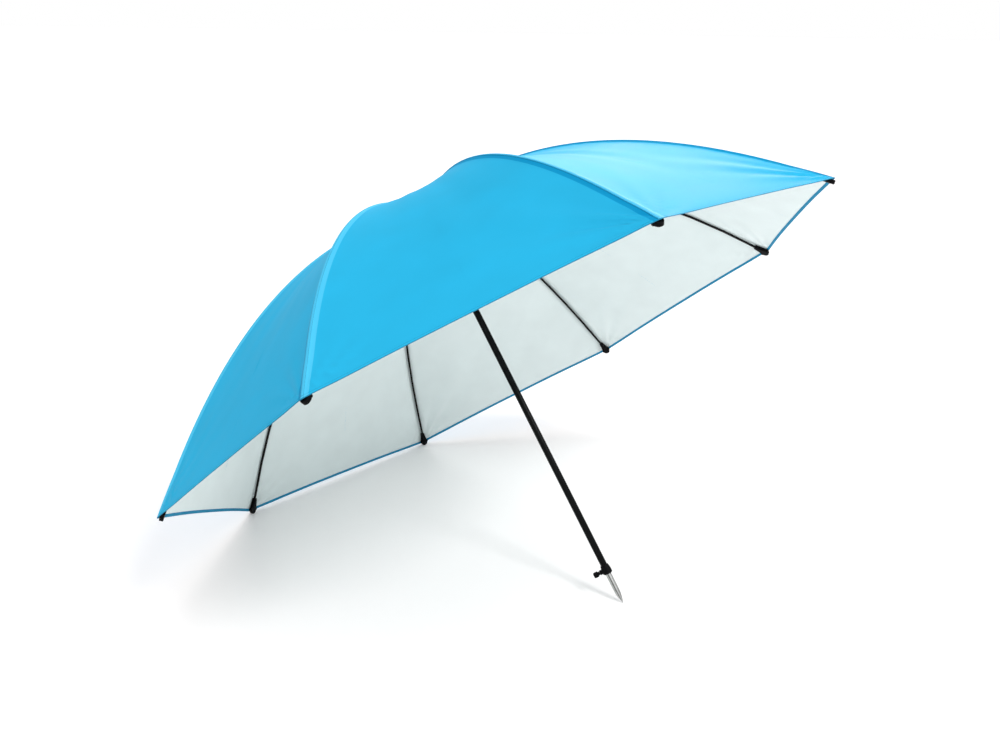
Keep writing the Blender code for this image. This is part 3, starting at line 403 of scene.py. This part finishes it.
def anodised_tube(settings):
    """Drawn aluminium tube, dyed black and sealed: smooth, with drawing lines along it."""
    stretch = 60
    line_width = 1.2 * MILLIMETRE
    line_depth = 0.05 * MILLIMETRE
    made, tree, shader = new_material("black_anodised_aluminium", settings.tube, 0.16,
                                      Specular_IOR_Level=0.09)
    place = along_pole(tree, stretch).outputs["Vector"]
    lines = add(tree, "ShaderNodeTexNoise", {"Vector": place, "Scale": 1 / line_width, "Detail": 2})
    rough = add(tree, "ShaderNodeMapRange", {"Value": lines.outputs["Fac"], "To Min": 0.12, "To Max": 0.2})
    tree.links.new(rough.outputs["Result"], shader.inputs["Roughness"])
    bump = add(tree, "ShaderNodeBump", {"Height": lines.outputs["Fac"], "Strength": 0.12,
                                        "Distance": line_depth})
    tree.links.new(bump.outputs["Normal"], shader.inputs["Normal"])
    return made


def turned_aluminium(settings):
    """Bare turned aluminium: bright, with fine lines round it, and painted shade darkening its flutes."""
    squeeze = 40
    line_spacing = 0.35 * MILLIMETRE
    line_depth = 0.08 * MILLIMETRE
    wear_size = 9 * MILLIMETRE
    flute_shade = 0.25
    made, tree, shader = new_material("turned_aluminium", settings.bare, 0.3, Metallic=1.0)
    place = along_pole(tree, 1 / squeeze).outputs["Vector"]
    # Painted shade: the colour darkens in a wave round the axis, with one dark band in each flute.
    around = add(tree, "ShaderNodeTexGradient", {"Vector": place}, gradient_type="RADIAL").outputs["Fac"]
    angle = add(tree, "ShaderNodeMath", {0: around, 1: 2 * math.pi * FLUTES},
                operation="MULTIPLY").outputs[0]
    wave = add(tree, "ShaderNodeMath", {0: angle}, operation="COSINE").outputs[0]
    painted_flute_shade = add(tree, "ShaderNodeMapRange", {"Value": wave, "From Min": 0.9, "From Max": 0.1,
                                             "To Min": flute_shade, "To Max": 1.0}).outputs["Result"]
    lines = add(tree, "ShaderNodeTexNoise", {"Vector": place, "Scale": 1 / (squeeze * line_spacing),
                                             "Detail": 3})
    anywhere = add(tree, "ShaderNodeTexCoord").outputs["Object"]
    wear = add(tree, "ShaderNodeTexNoise", {"Vector": anywhere, "Scale": 1 / wear_size, "Detail": 5})
    colour = add(tree, "ShaderNodeVectorMath", {0: tinted(tree, settings.bare, wear, 0.86, 1.02),
                                                "Scale": painted_flute_shade}, operation="SCALE")
    tree.links.new(colour.outputs["Vector"], shader.inputs["Base Color"])
    rough = add(tree, "ShaderNodeMapRange", {"Value": wear.outputs["Fac"], "To Min": 0.2, "To Max": 0.4})
    tree.links.new(rough.outputs["Result"], shader.inputs["Roughness"])
    bump = add(tree, "ShaderNodeBump", {"Height": lines.outputs["Fac"], "Strength": 0.25,
                                        "Distance": line_depth})
    tree.links.new(bump.outputs["Normal"], shader.inputs["Normal"])
    return made


def moulded_nylon(settings):
    """Black nylon from a spark-eroded mould: a fine even grain and a low gloss."""
    grain_size = 0.9 * MILLIMETRE
    grain_depth = 0.12 * MILLIMETRE
    wear_size = 12 * MILLIMETRE
    made, tree, shader = new_material("moulded_black_nylon", settings.nylon, 0.48, IOR=1.53,
                                      Specular_IOR_Level=0.06)
    place = add(tree, "ShaderNodeTexCoord").outputs["Object"]
    grain = add(tree, "ShaderNodeTexNoise", {"Vector": place, "Scale": 1 / grain_size, "Detail": 2})
    wear = add(tree, "ShaderNodeTexNoise", {"Vector": place, "Scale": 1 / wear_size, "Detail": 3})
    rough = add(tree, "ShaderNodeMapRange", {"Value": wear.outputs["Fac"], "To Min": 0.4, "To Max": 0.58})
    tree.links.new(rough.outputs["Result"], shader.inputs["Roughness"])
    bump = add(tree, "ShaderNodeBump", {"Height": grain.outputs["Fac"], "Strength": 0.3,
                                        "Distance": grain_depth})
    tree.links.new(bump.outputs["Normal"], shader.inputs["Normal"])
    return made


def pultruded_fibre(settings):
    """Glass fibre in black resin, drawn through a die: smooth, with faint fibre streaks."""
    streak_width = 2.5 * MILLIMETRE
    streak_depth = 0.05 * MILLIMETRE
    made, tree, shader = new_material("pultruded_glass_fibre", settings.fibre, 0.34, IOR=1.55,
                                      Specular_IOR_Level=0.08)
    place = add(tree, "ShaderNodeTexCoord").outputs["Object"]
    streaks = add(tree, "ShaderNodeTexNoise", {"Vector": place, "Scale": 1 / streak_width, "Detail": 4})
    tree.links.new(tinted(tree, settings.fibre, streaks, 0.8, 1.3), shader.inputs["Base Color"])
    bump = add(tree, "ShaderNodeBump", {"Height": streaks.outputs["Fac"], "Strength": 0.15,
                                        "Distance": streak_depth})
    tree.links.new(bump.outputs["Normal"], shader.inputs["Normal"])
    return made


def plated_steel(settings):
    """Zinc-plated steel: bright, with a slightly cloudy skin."""
    cloud_size = 3 * MILLIMETRE
    made, tree, shader = new_material("zinc_plated_steel", settings.wire, 0.28, Metallic=1.0)
    place = add(tree, "ShaderNodeTexCoord").outputs["Object"]
    cloud = add(tree, "ShaderNodeTexNoise", {"Vector": place, "Scale": 1 / cloud_size, "Detail": 3})
    tree.links.new(tinted(tree, settings.wire, cloud, 0.9, 1.05), shader.inputs["Base Color"])
    rough = add(tree, "ShaderNodeMapRange", {"Value": cloud.outputs["Fac"], "To Min": 0.2, "To Max": 0.38})
    tree.links.new(rough.outputs["Result"], shader.inputs["Roughness"])
    return made


def finish_nodes(names, material, real_edge):
    """Gives CAD nodes a finish, and shades them round where their real surface is round."""
    corner_gap = 0.01 * MILLIMETRE
    for name in names:
        node = FRAME["nodes"][name]
        node.data.materials.clear()
        node.data.materials.append(material)
        node.data.polygons.foreach_set("use_smooth", [True] * len(node.data.polygons))
        weld = node.modifiers.new("one_skin", "WELD")
        weld.merge_threshold = corner_gap
        edges = node.modifiers.new("real_edges", "EDGE_SPLIT")
        edges.split_angle = real_edge


# Form of the cloth

def rib_rise(r):
    """Height of the ribs' centre line above the rim, at a radius."""
    return CREST_RISE * (1 - ((r - CREST_RADIUS) / (RIM_RADIUS - CREST_RADIUS)) ** 2)


def rib_fall(r):
    """Angle of the ribs below level at a radius, going outwards."""
    return np.arctan(2 * CREST_RISE * (r - CREST_RADIUS) / (RIM_RADIUS - CREST_RADIUS) ** 2)


def eased(x):
    """Rises softly from 0 to 1 as x does, and is level beyond."""
    x = np.clip(x, 0, 1)
    return x * x * (3 - 2 * x)


def hem_radius(share, settings):
    """Radius of the hem: set back at the corners, and hollowed between them."""
    across = 1 - (1 - share) ** 3
    return RIM_RADIUS - (settings.setback + settings.scallop * across) * math.cos(rib_fall(RIM_RADIUS))


def long_folds(turn, along, number, settings):
    """Soft folds that run out from the crown, the same from either rib that shares a panel."""
    panel = np.where(turn < 0, number % len(RIBS), number - 1)
    across = np.where(turn < 0, -turn / 2, 1 - turn / 2)
    panel_phase = 2.4
    phase = panel_phase * panel
    waves = sum(height * np.sin(2 * math.pi * (over * across + out * along) + shift * phase)
                for height, over, out, shift in FOLD_SHARES)
    return settings.fold * waves * (np.sin(math.pi * across) * np.sin(math.pi * along)) ** 2


def corner_puckers(turn, back, side, number, settings):
    """Creases that fan from the corner where the cup pulls the cloth tight."""
    left_share = 1.5
    right_share = 0.6
    creases = 13
    share = PUCKER_SHARES[number - 1] * np.where(turn < 0, left_share, right_share)
    far = np.hypot(back, side)
    around = np.arctan2(side, back + CORNER_GAP)
    fan = np.exp(-far / settings.pucker_reach) * (1 - np.exp(-(far / HELD_REACH) ** 2))
    wave = np.sin(creases * around + 2 * turn + number)
    return share * settings.pucker * fan * np.sin(2 * around) * wave


def cloth_points(turn, along, lift, number, settings):
    """Points on the cloth in a rib's axes: turn 0 on the rib and 1 or -1 mid-panel, along 0 to 1."""
    turn, along, lift = np.broadcast_arrays(turn, along, lift)
    away = np.abs(turn)
    away = np.where(away > 1, 2 - away, away)
    start = HINGE_RADIUS + CLOTH_GAP
    hem = hem_radius(away, settings)
    r = start + (hem - start) * along
    width = HALF_PANEL * r
    side = away * width
    fall = rib_fall(r)
    grown = eased((r - CAP_RADIUS) / (CREST_RADIUS - CAP_RADIUS))

    # Share of the way from the rounded ridge to mid-panel, and the straight chord between ribs
    soft = np.minimum(settings.ridge / width, 0.5)
    share = (np.sqrt(away * away + soft * soft) - soft) / (np.sqrt(1 + soft * soft) - soft)
    across = 1 - (1 - share) ** 2
    straight = math.cos(HALF_PANEL) / np.cos((1 - share) * HALF_PANEL)

    # The cloth's height over the rib's line: its ridge, seam and creases, and the cups' lift
    corner = np.clip((along - 1) / LIFTED_SHARE + 1, 0, 1)
    flanks = settings.stand * grown * (1 - corner) * (1 - np.exp(-(side / settings.flank) ** 2))
    seam = np.clip((settings.seam / 2 - side) / SEAM_EDGE + 0.5, 0, 1)
    rise = settings.seam_rise * seam * np.clip(lift / settings.thickness, 0, 1)
    creases = corner_puckers(turn, (hem - r) / np.cos(fall), side, number, settings)
    lifted = corner * np.exp(-(side / LIFTED_WIDTH) ** 2)
    offset = settings.offset + lift + rise + creases + long_folds(turn, along, number, settings)
    offset = offset + settings.corner_lift * lifted - flanks

    # The panel's hollow, and the point itself
    draw = settings.draw * across * np.sin(math.pi * along) * grown
    out = (r + offset * np.sin(fall)) * (1 - (1 - straight) * grown) - draw * np.sin(fall)
    up = rib_rise(r) - rib_rise(HINGE_RADIUS) + (offset - draw) * np.cos(fall)
    azimuth = turn * HALF_PANEL
    return np.stack([out * np.cos(azimuth), out * np.sin(azimuth), up], -1)


def cloth_normals(turn, along, lift, number, settings):
    """Outward normals of the same surface, from steps of a fraction of a millimetre."""
    turn_share = 0.0008
    along_share = 0.0004
    over = cloth_points(turn + turn_share, along, lift, number, settings)
    under = cloth_points(turn - turn_share, along, lift, number, settings)
    out = cloth_points(turn, along + along_share, lift, number, settings)
    back = cloth_points(turn, along - along_share, lift, number, settings)
    normals = np.cross(out - back, over - under)
    return normals / np.linalg.norm(normals, axis=-1, keepdims=True)


def cloth_grid(settings):
    """Turns and shares along of the cloth's grid, closer together at the seam and the hem."""
    flank_shares = (0.5, 1, 1.6)
    hem_shares = (0.004, 0.009)
    growth = 1.2
    edge = settings.seam / 2
    wide = HALF_PANEL * RIM_RADIUS
    near = [0, (edge - SEAM_EDGE / 2) / wide, (edge + SEAM_EDGE / 2) / wide]
    near += [(edge + settings.flank * share) / wide for share in flank_shares]
    steps = settings.columns - len(near) + 1
    half = near + [near[-1] + (1 - near[-1]) * (i / steps) ** growth for i in range(1, steps + 1)]
    turns = np.array([-x for x in reversed(half[1:])] + half)
    along = np.linspace(0, 1, settings.rows + 1)
    along = np.sort(np.append(along, [1 - share for share in hem_shares]))
    return turns, along


def mesh_object(name, points, faces, material_list, indices, normals, uvs, frame):
    """A mesh in the part's frame, from points in a rib's axes."""
    mesh = bpy.data.meshes.new(name)
    mesh.from_pydata(points.tolist(), [], faces)
    for material in material_list:
        mesh.materials.append(material)
    mesh.polygons.foreach_set("material_index", indices)
    mesh.polygons.foreach_set("use_smooth", [True] * len(faces))
    layer = mesh.uv_layers.new(name="cloth")
    corners = np.empty(len(mesh.loops), int)
    mesh.loops.foreach_get("vertex_index", corners)
    layer.data.foreach_set("uv", uvs[corners].ravel())
    mesh.transform(frame)
    if normals is None:
        mesh.set_sharp_from_angle(angle=ROUND_EDGE)
    else:
        turned = normals @ np.array(frame.to_3x3()).T
        mesh.normals_split_custom_set_from_vertices(turned.tolist())
    mesh.update()
    made = bpy.data.objects.new(name, mesh)
    bpy.context.scene.collection.objects.link(made)
    return made


def quads(rows, columns, start, flip):
    """Faces of a grid whose first vertex has the given index."""
    faces = []
    for i in range(rows - 1):
        for j in range(columns - 1):
            a = start + i * columns + j
            face = (a, a + columns, a + columns + 1, a + 1)
            faces.append((face[0], *face[:0:-1]) if flip else face)
    return faces


def cloth_shell(number, first, last, settings):
    """Points, faces, material numbers, normals and UVs of a length of the cloth round one rib."""
    turns, along = cloth_grid(settings)
    grid_turn, grid_along = np.meshgrid(turns, along)
    r = HINGE_RADIUS + (RIM_RADIUS - HINGE_RADIUS) * grid_along
    length = np.hypot(np.gradient(r, axis=0), np.gradient(rib_rise(r), axis=0)).cumsum(0)
    back = length[-1] - length
    used = slice(round(first * settings.rows), None if last == 1 else round(last * settings.rows) + 1)
    grid_turn, grid_along, r, back = (grid[used] for grid in (grid_turn, grid_along, r, back))
    rows, columns = grid_turn.shape
    sides = []
    for lift, sign in ((settings.thickness, 1), (0.0, -1)):
        points = cloth_points(grid_turn, grid_along, lift, number, settings).reshape(-1, 3)
        normals = cloth_normals(grid_turn, grid_along, lift, number, settings).reshape(-1, 3) * sign
        sides.append((points, normals))
    points = np.vstack([side[0] for side in sides])
    normals = np.vstack([side[1] for side in sides])
    uvs = np.stack([(grid_turn * HALF_PANEL * r).ravel(), back.ravel()], -1)
    count = rows * columns
    outer = quads(rows, columns, 0, False)
    inner = quads(rows, columns, count, True)
    border = [(i, 0) for i in range(rows)]
    border += [(rows - 1, j) for j in range(1, columns)]
    border += [(i, columns - 1) for i in range(rows - 2, -1, -1)]
    border += [(0, j) for j in range(columns - 2, 0, -1)]
    loop = [i * columns + j for i, j in border]
    rim = [(b, a, a + count, b + count) for a, b in zip(loop, loop[1:] + loop[:1])]
    faces = outer + inner + rim
    indices = [0] * len(outer) + [1] * len(inner) + [0] * len(rim)
    return points, faces, indices, normals, np.vstack([uvs, uvs])


def turned_hem(number, settings):
    """The cloth's edge, rolled in and laid flat under it: a strip closed all round."""
    turns, _ = cloth_grid(settings)
    thick = settings.thickness
    roll = 0.9 * MILLIMETRE
    skin = 0.05 * MILLIMETRE
    lap = 1.2 * MILLIMETRE
    round_share = 0.7
    upper_share = 0.6
    width = settings.hem_width
    bulge = roll * round_share
    profile = [(lap, thick + skin), (0, thick + skin), (-bulge, thick * upper_share), (-roll, 0),
               (-bulge, -thick * round_share), (0, -thick), (width, -thick), (width, -skin),
               (skin, -skin), (skin, thick - skin), (lap, thick - skin)]
    flat = math.cos(rib_fall(RIM_RADIUS)) / (RIM_RADIUS - HINGE_RADIUS)
    rings = []
    for back, lift in profile:
        rings.append(cloth_points(turns, 1 - back * flat, lift, number, settings))
    points = np.stack(rings, 1)
    count = len(profile)
    faces = []
    for i in range(len(turns) - 1):
        for j in range(count):
            after = (j + 1) % count
            faces.append((i * count + j, i * count + after, (i + 1) * count + after, (i + 1) * count + j))
    faces.append(tuple(range(count))[::-1])
    faces.append(tuple((len(turns) - 1) * count + j for j in range(count)))
    u = np.repeat(turns * HALF_PANEL * RIM_RADIUS, count)
    v = np.tile([back for back, _ in profile], len(turns))
    return points.reshape(-1, 3), faces, [0] * len(faces), None, np.stack([u, v], -1)


def gather(piece, number):
    """Carries a piece of cloth on its rib, with a mesh of its own."""
    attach(piece, f"rib_{number}")
    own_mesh(piece)


# Camera, floor and lamps

def place_camera(settings):
    """A camera at the photograph's viewing angle."""
    lens = bpy.data.cameras.new("camera")
    lens.lens = settings.lens
    lens.sensor_width = 36
    lens.clip_end = 100
    camera = bpy.data.objects.new("camera", lens)
    turn = Matrix.Rotation(settings.heading - math.pi / 2, 4, "Z")
    turn = turn @ Matrix.Rotation(math.pi / 2 - settings.tilt, 4, "X")
    turn = turn @ Matrix.Rotation(settings.roll, 4, "Z")
    camera.matrix_world = Matrix.Translation(settings.camera_at) @ turn
    bpy.context.scene.collection.objects.link(camera)
    bpy.context.scene.camera = camera


def seen_directly(tree):
    """1 for rays from the camera, from a gloss or through glass, and 0 for those that light."""
    path = add(tree, "ShaderNodeLightPath")
    both = add(tree, "ShaderNodeMath", {0: path.outputs["Is Camera Ray"],
                                        1: path.outputs["Is Glossy Ray"]}, operation="ADD", use_clamp=True)
    return add(tree, "ShaderNodeMath", {0: both.outputs[0], 1: path.outputs["Is Transmission Ray"]},
               operation="ADD", use_clamp=True).outputs[0]


def lay_floor(settings):
    """A large sheet of matt white paper, which the camera sees white outside the shadow."""
    reach = 400
    corners = [(-reach, -reach, 0), (reach, -reach, 0), (reach, reach, 0), (-reach, reach, 0)]
    mesh = bpy.data.meshes.new("floor")
    mesh.from_pydata(corners, [], [(0, 1, 2, 3)])
    floor = bpy.data.objects.new("floor", mesh)
    bpy.context.scene.collection.objects.link(floor)
    made, tree, shader = new_material("white_paper_floor", settings.floor, 0.9, Specular_IOR_Level=0.1)
    shader.inputs["Emission Color"].default_value = (1, 1, 1, 1)
    glow = add(tree, "ShaderNodeMath", {0: seen_directly(tree), 1: settings.floor_glow},
               operation="MULTIPLY")
    tree.links.new(glow.outputs[0], shader.inputs["Emission Strength"])
    mesh.materials.append(made)


def light_stage(settings):
    """Soft light from all round, stronger on the right, and the lamps."""
    world = bpy.data.worlds.new("studio")
    world.use_nodes = True
    tree = world.node_tree
    tree.nodes.clear()
    way = add(tree, "ShaderNodeTexCoord").outputs["Generated"]
    side = add(tree, "ShaderNodeVectorMath", {0: way, 1: LIGHTER_SIDE},
               operation="DOT_PRODUCT").outputs["Value"]
    soft = add(tree, "ShaderNodeMapRange", {"Value": side, "From Min": -1.0, "To Min": settings.sky_left,
                                            "To Max": settings.sky_right}).outputs["Result"]
    level = add(tree, "ShaderNodeMapRange", {"Value": seen_directly(tree), "To Min": soft,
                                             "To Max": 1.0}).outputs["Result"]
    light = add(tree, "ShaderNodeBackground", {"Color": (1, 1, 1, 1), "Strength": level})
    add(tree, "ShaderNodeOutputWorld", {"Surface": light.outputs["Background"]})
    bpy.context.scene.world = world
    for name, (towards, spread) in LAMPS.items():
        lamp = bpy.data.lights.new(name, "SUN")
        lamp.energy = getattr(settings, name)
        lamp.angle = math.radians(spread)
        placed = bpy.data.objects.new(name, lamp)
        placed.rotation_euler = Vector(towards).to_track_quat("Z", "Y").to_euler()
        bpy.context.scene.collection.objects.link(placed)


# Operators

class UMBRELLA_OT_canopy(bpy.types.Operator):
    """Sews the cloth: round each rib, three lengths from crown to edge and a turned hem"""
    bl_idname = "umbrella.canopy"
    bl_label = "Sew the canopy"

    def execute(self, context):
        settings = context.scene.umbrella_canopy
        cloth = [coated_polyester(settings), silver_coating(settings)]
        tape = [binding_tape_in_painted_shade(settings)]
        for number in RIBS:
            frame = rib_frame(number)
            strip = turned_hem(number, settings)
            hem = mesh_object(f"turned_hem_{number}", *strip[:2], tape, *strip[2:], frame)
            gather(hem, number)
            for place, first, last, share in zip(("top", "middle", "edge"), CUT_SHARES, CUT_SHARES[1:],
                                                 settings.gathered):
                shell = cloth_shell(number, first, last, settings)
                piece = mesh_object(f"canopy_panel_{number}_{place}", *shell[:2], cloth, *shell[2:], frame)
                gather(piece, number)
                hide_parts("canopy")
        return {"FINISHED"}


class UMBRELLA_OT_crown_disc(bpy.types.Operator):
    """Makes the middle of the cloth, clamped between crown and cap"""
    bl_idname = "umbrella.crown_disc"
    bl_label = "Clamp the cloth's middle"

    def execute(self, context):
        settings = context.scene.umbrella_canopy
        inner = 6.6 * MILLIMETRE
        outer = HINGE_RADIUS + CLOTH_GAP / 2
        low = settings.offset
        high = low + settings.thickness
        steps = 48
        profile = [(inner, low), (outer, low), (outer, high), (inner, high)]
        count = len(profile)
        points, faces = [], []
        for i in range(steps):
            angle = 2 * math.pi * i / steps
            points += [(r * math.cos(angle), r * math.sin(angle), z) for r, z in profile]
        for i in range(steps):
            after = (i + 1) % steps
            for j in range(count):
                k = (j + 1) % count
                faces.append((i * count + j, after * count + j, after * count + k, i * count + k))
        points = np.array(points)
        clear_of_seams = points[:, :2] + 2 * outer
        material = bpy.data.materials["coated_polyester_cloth"]
        disc = mesh_object("canopy_middle", points, faces, [material], [0] * len(faces), None,
                           clear_of_seams, rib_frame(1))
        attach(disc, "umbrella")
        return {"FINISHED"}


class UMBRELLA_OT_pole(bpy.types.Operator):
    """Finishes the two tubes and the spike"""
    bl_idname = "umbrella.pole"
    bl_label = "Finish the pole"

    def execute(self, context):
        settings = context.scene.umbrella_finish
        finish_nodes(["upper_tube"], anodised_tube(settings), ROUND_EDGE)
        finish_nodes(["lower_tube", "spike"], turned_aluminium(settings), TURNED_EDGE)
        return {"FINISHED"}


class UMBRELLA_OT_fittings(bpy.types.Operator):
    """Finishes the moulded fittings: crown, cap, runner, collar, thumb screw, cups and clips"""
    bl_idname = "umbrella.fittings"
    bl_label = "Finish the moulded fittings"

    def execute(self, context):
        names = ["crown", "crown_cap", "runner", "collar", "thumb_screw", "catch_button"]
        names += [f"rib_tip_{number}" for number in RIBS]
        names += [f"rib_bracket_{number}" for number in RIBS]
        finish_nodes(names, moulded_nylon(context.scene.umbrella_finish), MOULDED_EDGE)
        return {"FINISHED"}


class UMBRELLA_OT_rods(bpy.types.Operator):
    """Finishes the ribs and stretchers, and the steel wire, rivets and spring"""
    bl_idname = "umbrella.rods"
    bl_label = "Finish ribs, stretchers and wire"

    def execute(self, context):
        settings = context.scene.umbrella_finish
        rods = [f"rib_{number}" for number in RIBS] + [f"stretcher_{number}" for number in RIBS]
        finish_nodes(rods, pultruded_fibre(settings), ROUND_EDGE)
        steel = ["crown_ring", "runner_ring", "catch_spring"]
        steel += [f"stretcher_rivet_{number}" for number in RIBS]
        finish_nodes(steel, plated_steel(settings), WIRE_EDGE)
        return {"FINISHED"}


class UMBRELLA_OT_stage(bpy.types.Operator):
    """Sets the camera, the pale floor and the soft lamps"""
    bl_idname = "umbrella.stage"
    bl_label = "Set the stage"

    def execute(self, context):
        settings = context.scene.umbrella_stage
        place_camera(settings)
        lay_floor(settings)
        light_stage(settings)
        context.scene.view_settings.view_transform = "Standard"
        return {"FINISHED"}


# Panel, registration and the run

class UMBRELLA_PT_looks(bpy.types.Panel):
    """Lists the umbrella's operators and settings"""
    bl_label = "Fishing umbrella"
    bl_idname = "UMBRELLA_PT_looks"
    bl_space_type = "VIEW_3D"
    bl_region_type = "UI"
    bl_category = "Umbrella"

    def draw(self, context):
        for operator in OPERATORS:
            self.layout.operator(operator.bl_idname)
        for name in SETTINGS:
            group = getattr(context.scene, name)
            box = self.layout.box()
            for field in group.__annotations__:
                box.prop(group, field)


OPERATORS = (UMBRELLA_OT_canopy, UMBRELLA_OT_crown_disc, UMBRELLA_OT_pole, UMBRELLA_OT_fittings,
             UMBRELLA_OT_rods, UMBRELLA_OT_stage)
SETTINGS = {"umbrella_canopy": CanopySettings, "umbrella_finish": FinishSettings,
            "umbrella_stage": StageSettings}


def register():
    for name, group in SETTINGS.items():
        bpy.utils.register_class(group)
        setattr(bpy.types.Scene, name, PointerProperty(type=group))
    for kind in (*OPERATORS, UMBRELLA_PT_looks):
        bpy.utils.register_class(kind)


def unregister():
    for kind in reversed((*OPERATORS, UMBRELLA_PT_looks)):
        bpy.utils.unregister_class(kind)
    for name, group in SETTINGS.items():
        delattr(bpy.types.Scene, name)
        bpy.utils.unregister_class(group)


def main():
    """Registers the classes and makes everything in order."""
    register()
    bpy.ops.umbrella.stage()
    bpy.ops.umbrella.canopy()
    bpy.ops.umbrella.crown_disc()
    bpy.ops.umbrella.pole()
    bpy.ops.umbrella.fittings()
    bpy.ops.umbrella.rods()


if __name__ == "__main__":
    main()
